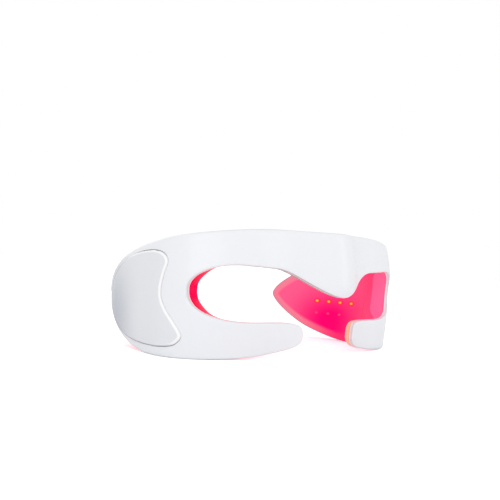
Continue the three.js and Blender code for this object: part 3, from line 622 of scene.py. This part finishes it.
def finished(bm, name):
    """Makes the piece's object from its mesh, smooth but for its sharp edges."""
    bmesh.ops.recalc_face_normals(bm, faces=bm.faces)
    for edge in bm.edges:
        edge.smooth = len(edge.link_faces) != 2 or edge.calc_face_angle(0.0) < SHARP_ANGLE
    mesh = bpy.data.meshes.new(name)
    bm.to_mesh(mesh)
    bm.free()
    mesh.polygons.foreach_set("use_smooth", [True] * len(mesh.polygons))
    piece = bpy.data.objects.new(name, mesh)
    bpy.context.scene.collection.objects.link(piece)
    return piece


def plastic(name, colour, roughness, coat=0.0):
    """A plain glossy or satin plastic, to which a section adds its own nodes."""
    material = bpy.data.materials.new(name)
    material.use_nodes = True
    shader = material.node_tree.nodes["Principled BSDF"]
    shader.inputs["Base Color"].default_value = colour
    shader.inputs["Roughness"].default_value = roughness
    shader.inputs["Coat Weight"].default_value = coat
    shader.inputs["Coat Roughness"].default_value = COAT_ROUGHNESS
    return material, shader


def wired(tree, socket, value):
    if isinstance(value, bpy.types.NodeSocket):
        tree.links.new(value, socket)
    else:
        socket.default_value = value


def calc(tree, operation, *values):
    node = tree.nodes.new("ShaderNodeMath")
    node.operation = operation
    for socket, value in zip(node.inputs, values):
        wired(tree, socket, value)
    return node.outputs[0]


def ramp(tree, value, start, stop):
    """Rises softly from 0 at start to 1 at stop, or falls where stop is the smaller."""
    node = tree.nodes.new("ShaderNodeMapRange")
    node.interpolation_type = "SMOOTHSTEP"
    rises = stop > start
    numbers = (value, min(start, stop), max(start, stop), 1 - rises, int(rises))
    for socket, number in zip(node.inputs, numbers):
        wired(tree, socket, number)
    return node.outputs[0]


def times(tree, first, *others):
    for other in others:
        first = calc(tree, "MULTIPLY", first, other)
    return first


def blend(tree, share, below, above):
    """The colour below where the share is 0, and the colour above where it is 1."""
    node = tree.nodes.new("ShaderNodeMix")
    node.data_type = "RGBA"
    for i, value in zip(MIX_SOCKETS, (share, below, above)):
        wired(tree, node.inputs[i], value)
    return node.outputs[2]


def pattern_of(tree):
    """The place along the face, the height and the distance inside the outline, from the pattern."""
    attribute = tree.nodes.new("ShaderNodeAttribute")
    attribute.attribute_name = "pattern"
    parts = tree.nodes.new("ShaderNodeSeparateXYZ")
    tree.links.new(attribute.outputs["Vector"], parts.inputs[0])
    return parts.outputs


def fill_pattern(bm, inside):
    """Gives the corners that a cut has made their own place in the pattern."""
    pattern = bm.verts.layers.float_vector["pattern"]
    for v in bm.verts:
        if abs(v[pattern].x - v.co.x) > FIT_GAP:
            v[pattern] = (v.co.x, v.co.z, inside)


def plug(bm, rings):
    """A solid through rings of points, closed at both ends."""
    for ring, next_ring in zip(rings, rings[1:]):
        walled(bm, ring, next_ring)
    bm.faces.new(rings[0])
    bm.faces.new(rings[-1])


def pill(width, height):
    """Points round an upright pill, from its right side upwards."""
    radius = width / 2
    points = []
    for start, middle in ((0, height / 2 - radius), (math.pi, radius - height / 2)):
        for i in range(PILL_STEPS + 1):
            angle = start + math.pi * i / PILL_STEPS
            points.append((radius * math.cos(angle), middle + radius * math.sin(angle)))
    return points


def pill_plug(bm, s, z, sizes):
    """An upright pill in the flat pattern. Its sizes are the width, height and depth of each ring."""
    rings = [
        [bm.verts.new((s + across, depth, z + up)) for across, up in pill(width, height)]
        for width, height, depth in sizes
    ]
    plug(bm, rings)


seats = bmesh.new()
for side in (1, -1):
    foot_ring = panel_sheet(seats, side, FIT_GAP, PANEL_SEAT + FIT_GAP)[1]
    walled(seats, panel_sheet(seats, side, FIT_GAP, -SHELL_WALL)[1], foot_ring)
# The button's slot widens behind the shell, into a pocket for its flange.
slot_steps = [
    (FIT_GAP, -SHELL_WALL),
    (FIT_GAP, POCKET_DEPTH),
    (POCKET_GROW, POCKET_DEPTH),
    (POCKET_GROW, 2 * SHELL_WALL),
]
slot_sizes = [(BUTTON_WIDTH + 2 * grow, BUTTON_HEIGHT + 2 * grow, depth) for grow, depth in slot_steps]
pill_plug(seats, BUTTON_S, BUTTON_Z, slot_sizes)
# Under each panel there are two holes, which the heads of the shell's screws lie in.
holes = bmesh.new()
hole_sizes = [(HOLE_WIDTH, HOLE_WIDTH, depth) for depth in (0, 2 * SHELL_WALL)]
for side in (1, -1):
    for hole_z in HOLE_Z:
        pill_plug(holes, side * HOLE_S, hole_z, hole_sizes)
shell_bm = cut(cut(moulding(lambda s: 0.0, SHELL_RIM, SHELL_WALL, SHELL_ROLL), seats), holes)
fill_pattern(shell_bm, SHELL_ROLL)
shell = wrapped(shell_bm, "outer_shell_moulding")
shell_white, shell_shader = plastic("glossy_white_shell", SHELL_WHITE, SHELL_ROUGHNESS, SHELL_COAT)
tree = shell_white.node_tree
signed, height, inside = pattern_of(tree)
along = calc(tree, "ABSOLUTE", signed)
# Painted shade greys the rear end of each arm, which turns away from the lamps.
colour = blend(tree, ramp(tree, along, *REAR_SHADE_ALONG), SHELL_WHITE, SHELL_REAR_SHADE)
# A thin line of painted shade follows the outline, on the outer half of the rolled edge.
line = times(
    tree,
    ramp(tree, inside, *LINE_INSIDE),
    ramp(tree, inside, *LINE_OUTSIDE),
    ramp(tree, along, *LINE_FROM_MIDDLE),
)
# It is darker under the brow, where the edge is in its own shade.
brow_line = times(
    tree,
    ramp(tree, along, *BROW_LINE_ALONG),
    ramp(tree, height, *BROW_LINE_LOW),
    ramp(tree, height, *BROW_LINE_TOP),
)
strength = calc(tree, "ADD", EDGE_SHADE_STRENGTH, times(tree, brow_line, BROW_LINE_STRENGTH))
colour = blend(tree, times(tree, line, strength), colour, SHELL_EDGE_SHADE)
tree.links.new(colour, shell_shader.inputs["Base Color"])
shell.data.materials.append(shell_white)
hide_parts("outer_shell")
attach(shell, "mask")

# Light cover: the translucent pink tray that closes the shell towards the face. Its deep side wall
# shows round the eye openings. The glow that the lights behind it give its inner face is painted: the
# cover gives off its own colour, with painted spots for the lights and painted light and shade on its
# walls. The slot for the charging socket goes through the lower wall of its right arm.
COVER_WALL = 0.0013
COVER_ROLL = 0.0035
FRONT_DEPTH = 0.006
TEMPLE_DEPTH = 0.0145
REAR_DEPTH = 0.008
DEPTH_RISE_FROM = 0.046
DEPTH_RISE_TO = 0.086
DEPTH_FALL_FROM = 0.1504
# The socket's slot: where its board is along the face, its middle from there, how far the lean of the
# arm moves it, its size, and the heights that it goes from and to.
BOARD_S = -0.1593
PORT_X = 0.008
PORT_DEPTH = 0.00827
PORT_LEAN = 0.0005
PORT_WIDTH = 0.0089
PORT_HEIGHT = 0.0032
PORT_Z = (-0.030, -0.020)
COVER_ROUGHNESS = 0.35
COVER_SPECULAR = 0.04
COVER_PAINTED_GLOW = 0.5
COVER_PINK = (1.0, 0.08, 0.205, 1)
COVER_SATURATED = (1.0, 0.0, 0.13, 1)
COVER_NEAR_NOSE = (1.0, 0.05, 0.15, 1)
COVER_SALMON = (0.61, 0.165, 0.235, 1)
COVER_OUTLINE = (0.26, 0.10, 0.13, 1)
RIGHT_WALL_SHADED_RED = (0.93, 0.0, 0.055, 1)
LEFT_WALL_LIT_PINK = (1.0, 0.10, 0.235, 1)
BROW_WALL_SHADE = (0.20, 0.15, 0.16, 1)
BAR_WALL_PALE = (0.72, 0.62, 0.65, 1)
TIP_WALL_PEACH = (0.75, 0.36, 0.24, 1)
PAINTED_LIGHT_HALO = (0.46, 0.022, 0.022, 1)
PAINTED_LIGHT_CORE = (1.0, 0.38, 0.06, 1)
LOWER_SPOT = (1.0, 0.09, 0.16, 1)
# The deepest colour lies low on the temple, at this length along the face and this height. It
# spreads further along than up.
DEEPEST = (0.129, -0.020)
DEEPEST_SQUASH = 1.6
DEEPEST_REACH = (0.008, 0.048)
# Where the other colours change, from one place to the other: along the face, inside the outline or
# from the nearest light.
NEAR_NOSE_ALONG = (0.128, 0.090)
SALMON_ALONG = (0.112, 0.162)
SALMON_INSIDE = (0.0062, 0.0036)
OUTLINE_ALONG = (0.110, 0.150)
OUTLINE_INSIDE = (0.0014, 0.0006)
OUTLINE_STRENGTH = 0.55
LOWER_SPOT_EDGE = (0.0016, 0.0005)
LOWER_SPOT_STRENGTH = 0.5
HALO_EDGE = (0.0032, 0.0016)
HALO_STRENGTH = 0.85
CORE_EDGE = (0.0017, 0.0006)
BROW_WALL_ALONG = (0.072, 0.060)
BAR_WALL_ALONG = (0.056, 0.046)
TIP_WALL_ALONG = (0.034, 0.028)
ROLLED_INSIDE = (0.0026, 0.0018)
# The heights under which a wall belongs to the bar under the eye, and a rolled edge to the brow's
# lower side.
LOW_WALL_TOP = -0.010
UNDER_BROW_TOP = 0.022
# Each row of lights: where the first one is along the face, the pitch, the number of the last, counted
# from 0, and the height. Their spots are wider than they are high.
UPPER_ROW = (0.1137, 0.0096, 3.0, -0.0071)
LOWER_ROW = (0.1233, 0.0096, 2.0, -0.0151)
BROW_ROW = (-0.0428, 0.0107, 8.0, 0.0244)
CHEEK_ROW = (0.033, 0.0107, 3.0, -0.0223)
SPOT_SQUASH = 1.55


def mask_depth(s):
    temple = smooth((abs(s) - DEPTH_RISE_FROM) / (DEPTH_RISE_TO - DEPTH_RISE_FROM))
    rear = smooth((abs(s) - DEPTH_FALL_FROM) / (ARM_LENGTH - DEPTH_FALL_FROM))
    return mix(mix(FRONT_DEPTH, TEMPLE_DEPTH, temple), REAR_DEPTH, rear)


# The slot of the charging socket, through the lower wall of the right arm. The socket lies flat on its
# board, so the slot's outline is carried over to the round of the arm.
port = bmesh.new()
port_outline = []
for x, y in pill(PORT_HEIGHT + 2 * FIT_GAP, PORT_WIDTH + 2 * FIT_GAP):
    inner = SIDE_RADIUS - PORT_DEPTH - x
    s = BOARD_S + SIDE_RADIUS * math.atan2(PORT_X + y, inner)
    port_outline.append((s, SIDE_RADIUS - math.hypot(PORT_X + y, inner) - PORT_LEAN))
plug(port, [[port.verts.new((s, depth, z)) for s, depth in port_outline] for z in PORT_Z])
cover_bm = cut(moulding(mask_depth, SHELL_RIM + FIT_GAP, COVER_WALL, COVER_ROLL), port)
fill_pattern(cover_bm, -COVER_WALL)
cover = wrapped(cover_bm, "light_cover_moulding")


def straight_distance(tree, across, up):
    squares = [calc(tree, "POWER", way, 2.0) for way in (across, up)]
    return calc(tree, "SQRT", calc(tree, "ADD", *squares))


# How far a place is from the nearest light of a row.
light_row = bpy.data.node_groups.new("light_row", "ShaderNodeTree")
for socket_name in ("Along", "Height", "Start", "Pitch", "Last", "Row Height"):
    light_row.interface.new_socket(socket_name, in_out="INPUT", socket_type="NodeSocketFloat")
light_row.interface.new_socket("Distance", in_out="OUTPUT", socket_type="NodeSocketFloat")
row_in = light_row.nodes.new("NodeGroupInput").outputs
row_out = light_row.nodes.new("NodeGroupOutput").inputs
row_from = calc(light_row, "SUBTRACT", row_in["Along"], row_in["Start"])
row_nearest = calc(light_row, "ROUND", calc(light_row, "DIVIDE", row_from, row_in["Pitch"]))
row_nearest = calc(light_row, "MAXIMUM", 0.0, calc(light_row, "MINIMUM", row_nearest, row_in["Last"]))
row_across = calc(light_row, "SUBTRACT", row_from, times(light_row, row_nearest, row_in["Pitch"]))
row_up = calc(light_row, "SUBTRACT", row_in["Height"], row_in["Row Height"])
row_distance = straight_distance(light_row, row_across, times(light_row, SPOT_SQUASH, row_up))
light_row.links.new(row_distance, row_out["Distance"])


def from_light(tree, along, height, start, pitch, last, row_height):
    node = tree.nodes.new("ShaderNodeGroup")
    node.node_tree = light_row
    for socket, value in zip(node.inputs, (along, height, start, pitch, last, row_height)):
        wired(tree, socket, value)
    return node.outputs[0]


cover_pink, cover_shader = plastic("pink_light_cover", COVER_PINK, COVER_ROUGHNESS)
cover_shader.inputs["Specular IOR Level"].default_value = COVER_SPECULAR
tree = cover_pink.node_tree
signed, height, inside = pattern_of(tree)
along = calc(tree, "ABSOLUTE", signed)
deep_x = calc(tree, "SUBTRACT", along, DEEPEST[0])
deep_z = times(tree, DEEPEST_SQUASH, calc(tree, "SUBTRACT", height, DEEPEST[1]))
from_deepest = straight_distance(tree, deep_x, deep_z)
colour = blend(tree, ramp(tree, from_deepest, *DEEPEST_REACH), COVER_SATURATED, COVER_PINK)
colour = blend(tree, ramp(tree, along, *NEAR_NOSE_ALONG), colour, COVER_NEAR_NOSE)
band = times(tree, ramp(tree, inside, *SALMON_INSIDE), ramp(tree, along, *SALMON_ALONG))
colour = blend(tree, band, colour, COVER_SALMON)
# The lights behind the cover are painted on it as glowing spots: an orange core in a dark red halo, and
# faint spots for the lower row.
upper = from_light(tree, along, height, *UPPER_ROW)
lower = from_light(tree, along, height, *LOWER_ROW)
brow = from_light(tree, signed, height, *BROW_ROW)
cheek = from_light(tree, along, height, *CHEEK_ROW)
spot = calc(tree, "MINIMUM", calc(tree, "MINIMUM", upper, brow), cheek)
lower_spot = times(tree, ramp(tree, lower, *LOWER_SPOT_EDGE), LOWER_SPOT_STRENGTH)
colour = blend(tree, lower_spot, colour, LOWER_SPOT)
halo = times(tree, ramp(tree, spot, *HALO_EDGE), HALO_STRENGTH)
colour = blend(tree, halo, colour, PAINTED_LIGHT_HALO)
colour = blend(tree, ramp(tree, spot, *CORE_EDGE), colour, PAINTED_LIGHT_CORE)
outline = times(tree, ramp(tree, inside, *OUTLINE_INSIDE), ramp(tree, along, *OUTLINE_ALONG))
colour = blend(tree, times(tree, outline, OUTLINE_STRENGTH), colour, COVER_OUTLINE)
# Painted light and shade on the walls round the openings: the right side's walls are a shaded, deeper red
# and the left side's a lit, paler pink.
wall_colour = blend(tree, calc(tree, "GREATER_THAN", signed, 0.0), RIGHT_WALL_SHADED_RED, LEFT_WALL_LIT_PINK)
low_wall = calc(tree, "LESS_THAN", height, LOW_WALL_TOP)
# Painted shade darkens the walls under the brow.
shaded_brow_wall = times(tree, ramp(tree, along, *BROW_WALL_ALONG), calc(tree, "SUBTRACT", 1.0, low_wall))
wall_colour = blend(tree, shaded_brow_wall, wall_colour, BROW_WALL_SHADE)
bar_wall = times(tree, ramp(tree, along, *BAR_WALL_ALONG), low_wall)
wall_colour = blend(tree, bar_wall, wall_colour, BAR_WALL_PALE)
tip_wall = times(tree, ramp(tree, along, *TIP_WALL_ALONG), low_wall)
wall_colour = blend(tree, tip_wall, wall_colour, TIP_WALL_PEACH)
colour = blend(tree, calc(tree, "LESS_THAN", inside, 0.0), colour, wall_colour)
# The rolled edge takes the same colours round the tips, and the same painted shade under the brow.
near_edge = ramp(tree, inside, *ROLLED_INSIDE)
colour = blend(tree, times(tree, near_edge, tip_wall), colour, TIP_WALL_PEACH)
under_brow = times(tree, shaded_brow_wall, calc(tree, "LESS_THAN", height, UNDER_BROW_TOP))
colour = blend(tree, times(tree, near_edge, under_brow), colour, BROW_WALL_SHADE)
# Painted glow: the cover gives off its own colour, standing in for the lights shining through it.
tree.links.new(colour, cover_shader.inputs["Base Color"])
tree.links.new(colour, cover_shader.inputs["Emission Color"])
cover_shader.inputs["Emission Strength"].default_value = COVER_PAINTED_GLOW
cover.data.materials.append(cover_pink)
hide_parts("light_cover")
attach(cover, "mask")

# Temple panels: a bean-shaped plate on each arm, 78 mm by 48 mm and 0.8 mm proud of the shell, in a
# seat that leaves a fine groove all round. The plastic is glossy and a little greyer than the shell.
PANEL_RAISE = 0.0008
PANEL_ROUGHNESS = 0.25
PANEL_COAT = 0.2
PANEL_GREY = (0.79, 0.805, 0.84, 1)
PANEL_SHADE = (0.41, 0.445, 0.51, 1)
PANEL_EDGE_HIGHLIGHT = (0.97, 0.97, 0.98, 1)
PANEL_REAR_EDGE_SHADE = (0.30, 0.32, 0.36, 1)
# Where its colours change, from one place to the other: along the face, in height or inside its
# outline.
SHADE_ALONG = (0.118, 0.160)
SHADE_HEIGHT = (0.024, -0.016)
REAR_EDGE_INSIDE = (0.0026, 0.0014)
REAR_EDGE_ALONG = (0.140, 0.160)
REAR_EDGE_STRENGTH = 0.5
FRONT_ALONG = (0.124, 0.108)
FRONT_HEIGHT = (-0.0272, -0.0245)
HEAD_ALONG = (0.148, 0.130)
HEAD_HEIGHT = (0.006, 0.012)
HIGHLIGHT_INSIDE = (0.0014, 0.0009)
panel_grey, panel_shader = plastic("grey_white_panel", PANEL_GREY, PANEL_ROUGHNESS, PANEL_COAT)
tree = panel_grey.node_tree
signed, height, inside = pattern_of(tree)
along = calc(tree, "ABSOLUTE", signed)
shade = times(tree, ramp(tree, along, *SHADE_ALONG), ramp(tree, height, *SHADE_HEIGHT))
colour = blend(tree, shade, PANEL_GREY, PANEL_SHADE)
# A line of painted shade runs along the rear edge, which faces away from the lamps.
rear_edge_shade = times(tree, ramp(tree, inside, *REAR_EDGE_INSIDE), ramp(tree, along, *REAR_EDGE_ALONG))
colour = blend(tree, times(tree, rear_edge_shade, REAR_EDGE_STRENGTH), colour, PANEL_REAR_EDGE_SHADE)
# A painted highlight whitens the rolled edge along the front and the head of the panel.
near_front = times(tree, ramp(tree, along, *FRONT_ALONG), ramp(tree, height, *FRONT_HEIGHT))
near_head = times(tree, ramp(tree, along, *HEAD_ALONG), ramp(tree, height, *HEAD_HEIGHT))
front_or_head = calc(tree, "MAXIMUM", near_front, near_head)
edge_highlight = times(tree, ramp(tree, inside, *HIGHLIGHT_INSIDE), front_or_head)
tree.links.new(blend(tree, edge_highlight, colour, PANEL_EDGE_HIGHLIGHT), panel_shader.inputs["Base Color"])
for side, side_name in ((-1, "right"), (1, "left")):
    panel_bm = bmesh.new()
    panel_layer = panel_bm.verts.layers.float_vector.new("pattern")
    top_points, top_ring = panel_sheet(panel_bm, side, 0.0, -PANEL_RAISE)
    panel_tree = edge_finder({e for e in panel_bm.edges if e.is_boundary})
    for v in top_points:
        distance = panel_tree.find(v.co)[2]
        v[panel_layer] = (v.co.x, v.co.z, distance)
        v.co.y += rolled(distance, PANEL_ROLL)
    walled(panel_bm, top_ring, panel_sheet(panel_bm, side, 0.0, PANEL_SEAT)[1])
    panel = wrapped(panel_bm, side_name + "_temple_panel_plate")
    panel.data.materials.append(panel_grey)
    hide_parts(side_name + "_temple_panel")
    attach(panel, "mask")

# Power button: a slim upright pill, 3.4 mm by 8 mm and 0.7 mm proud, near the rear end of the right
# arm. It has a flange behind the shell and a post over its switch, and its plastic is whiter and
# glossier than the shell's. A faint glow paints a glint on it.
BUTTON_WHITE = (0.95, 0.955, 0.97, 1)
BUTTON_ROUGHNESS = 0.15
BUTTON_COAT = 0.5
BUTTON_GLINT_GLOW = 0.2
BUTTON_RINGS = [
    # width, height, depth under the face
    (0.0022, 0.0068, -0.0007),
    (0.0026, 0.0072, -0.00068),
    (0.0030, 0.0076, -0.00058),
    (0.0033, 0.0079, -0.0004),
    (0.0034, 0.0080, -0.0002),
    (0.0034, 0.0080, 0.0023),
    (0.0054, 0.0100, 0.0023),
    (0.0054, 0.0100, 0.0031),
    (0.0020, 0.00204, 0.0031),
    (0.0020, 0.00204, 0.0035),
]
button_bm = bmesh.new()
button_place = face_point(BUTTON_S, BUTTON_Z, 0)
button_along, button_up = (
    (face_point(BUTTON_S + s, BUTTON_Z + z, 0) - face_point(BUTTON_S - s, BUTTON_Z - z, 0)).normalized()
    for s, z in ((FIT_GAP, 0), (0, FIT_GAP))
)
button_out = button_along.cross(button_up).normalized()
button_rings = [
    [
        button_bm.verts.new(button_place + button_along * x + button_up * z - button_out * depth)
        for x, z in pill(width, height)
    ]
    for width, height, depth in BUTTON_RINGS
]
plug(button_bm, button_rings)
button = finished(button_bm, "power_button_cap")
button_white, button_shader = plastic("glossy_white_button_painted_glint", BUTTON_WHITE, BUTTON_ROUGHNESS, BUTTON_COAT)
# A faint glow gives the button a painted glint.
button_shader.inputs["Emission Color"].default_value = BUTTON_WHITE
button_shader.inputs["Emission Strength"].default_value = BUTTON_GLINT_GLOW
button.data.materials.append(button_white)
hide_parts("power_button")
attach(button, "button")

# Inner pieces, which keep their solids from the CAD model: the lights and their boards, the control
# board with its parts, the battery and the screws. Each kind has a plain surface with a fine grain.
INNER_LOOKS = {
    # slot: colour, roughness, metallic, second colour, size of the grain per metre, strength of glow
    "light_board_white": ((0.80, 0.76, 0.70, 1), 0.45, 0.0, (0.72, 0.55, 0.35, 1), 420, 0.0),
    "led_amber": ((1.0, 0.50, 0.10, 1), 0.3, 0.0, (1.0, 0.75, 0.35, 1), 900, 1.2),
    "board_green": ((0.02, 0.11, 0.05, 1), 0.4, 0.0, (0.05, 0.20, 0.09, 1), 600, 0.0),
    "black_plastic": ((0.02, 0.02, 0.022, 1), 0.5, 0.0, (0.035, 0.035, 0.037, 1), 900, 0.0),
    "metal": ((0.60, 0.61, 0.63, 1), 0.28, 1.0, (0.48, 0.49, 0.51, 1), 1500, 0.0),
    "battery_foil": ((0.62, 0.63, 0.66, 1), 0.35, 0.8, (0.52, 0.53, 0.56, 1), 260, 0.0),
    "foam_grey": ((0.05, 0.05, 0.052, 1), 0.95, 0.0, (0.02, 0.02, 0.021, 1), 2500, 0.0),
    "lead_red": ((0.42, 0.012, 0.014, 1), 0.5, 0.0, (0.30, 0.008, 0.01, 1), 700, 0.0),
}
GRAIN_EDGE = (0.45, 0.62)
inner_materials = {}
for slot_name, (colour, roughness, metallic, grain_colour, grain_scale, strength) in INNER_LOOKS.items():
    inner, inner_shader = plastic(slot_name + "_surface", colour, roughness)
    inner_shader.inputs["Metallic"].default_value = metallic
    tree = inner.node_tree
    grain_place = tree.nodes.new("ShaderNodeTexCoord")
    grain = tree.nodes.new("ShaderNodeTexNoise")
    grain.inputs["Scale"].default_value = grain_scale
    tree.links.new(grain_place.outputs["Object"], grain.inputs["Vector"])
    grained = blend(tree, ramp(tree, grain.outputs[0], *GRAIN_EDGE), colour, grain_colour)
    tree.links.new(grained, inner_shader.inputs["Base Color"])
    if strength:
        tree.links.new(grained, inner_shader.inputs["Emission Color"])
        inner_shader.inputs["Emission Strength"].default_value = strength
    inner_materials[slot_name] = inner
for subpart in frame["record"]["subparts"]:
    if subpart["material_slot"] in inner_materials:
        node = frame["nodes"][subpart["node"]]
        node.data.materials.clear()
        node.data.materials.append(inner_materials[subpart["material_slot"]])
